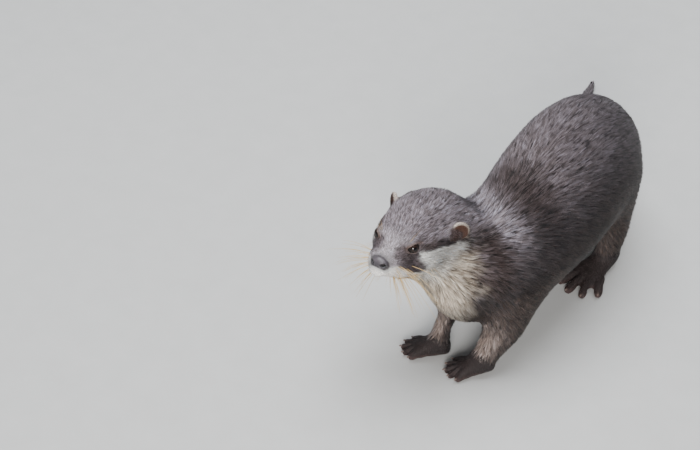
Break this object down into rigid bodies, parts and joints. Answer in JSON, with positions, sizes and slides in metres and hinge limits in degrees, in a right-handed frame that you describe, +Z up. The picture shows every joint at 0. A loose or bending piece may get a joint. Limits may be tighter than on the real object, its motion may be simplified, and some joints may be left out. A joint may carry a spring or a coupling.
{
  "type": "otter",
  "caption": "Life-size still model of a small-clawed otter standing on all fours, head turned and tail resting on the floor.",
  "frame": {"origin": "on the floor under the middle of the whole figure", "axes": "+Z up, -Y forwards to the nose, +X to the animal's left"},
  "size_m": [0.2016, 0.4908, 0.1597],
  "materials": {
    "coat": "short dense fur, grey-brown, pale on the cheeks and throat",
    "foot": "bare wrinkled skin with very short hair",
    "ear": "thin skin with a pale rim of short hair",
    "nose": "bare pebbled skin, slightly moist",
    "eye": "wet and glossy",
    "claw": "short blunt horn"
  },
  "bodies": {
    "root": {"head": "coat", "neck": "coat", "trunk": "coat", "tail": "coat", "nose": "nose", "ear_left": "ear", "eye_left": "eye", "ear_right": "ear", "eye_right": "eye", "foreleg_left": "coat", "forefoot_left": "foot", "claw_fore_left_1": "claw", "claw_fore_left_2": "claw", "claw_fore_left_3": "claw", "claw_fore_left_4": "claw", "claw_fore_left_5": "claw", "foreleg_right": "coat", "forefoot_right": "foot", "claw_fore_right_1": "claw", "claw_fore_right_2": "claw", "claw_fore_right_3": "claw", "claw_fore_right_4": "claw", "claw_fore_right_5": "claw", "hindleg_left": "coat", "hindfoot_left": "foot", "claw_hind_left_1": "claw", "claw_hind_left_2": "claw", "claw_hind_left_3": "claw", "claw_hind_left_4": "claw", "claw_hind_left_5": "claw", "hindleg_right": "coat", "hindfoot_right": "foot", "claw_hind_right_1": "claw", "claw_hind_right_2": "claw", "claw_hind_right_3": "claw", "claw_hind_right_4": "claw", "claw_hind_right_5": "claw"}
  },
  "joints": []
}
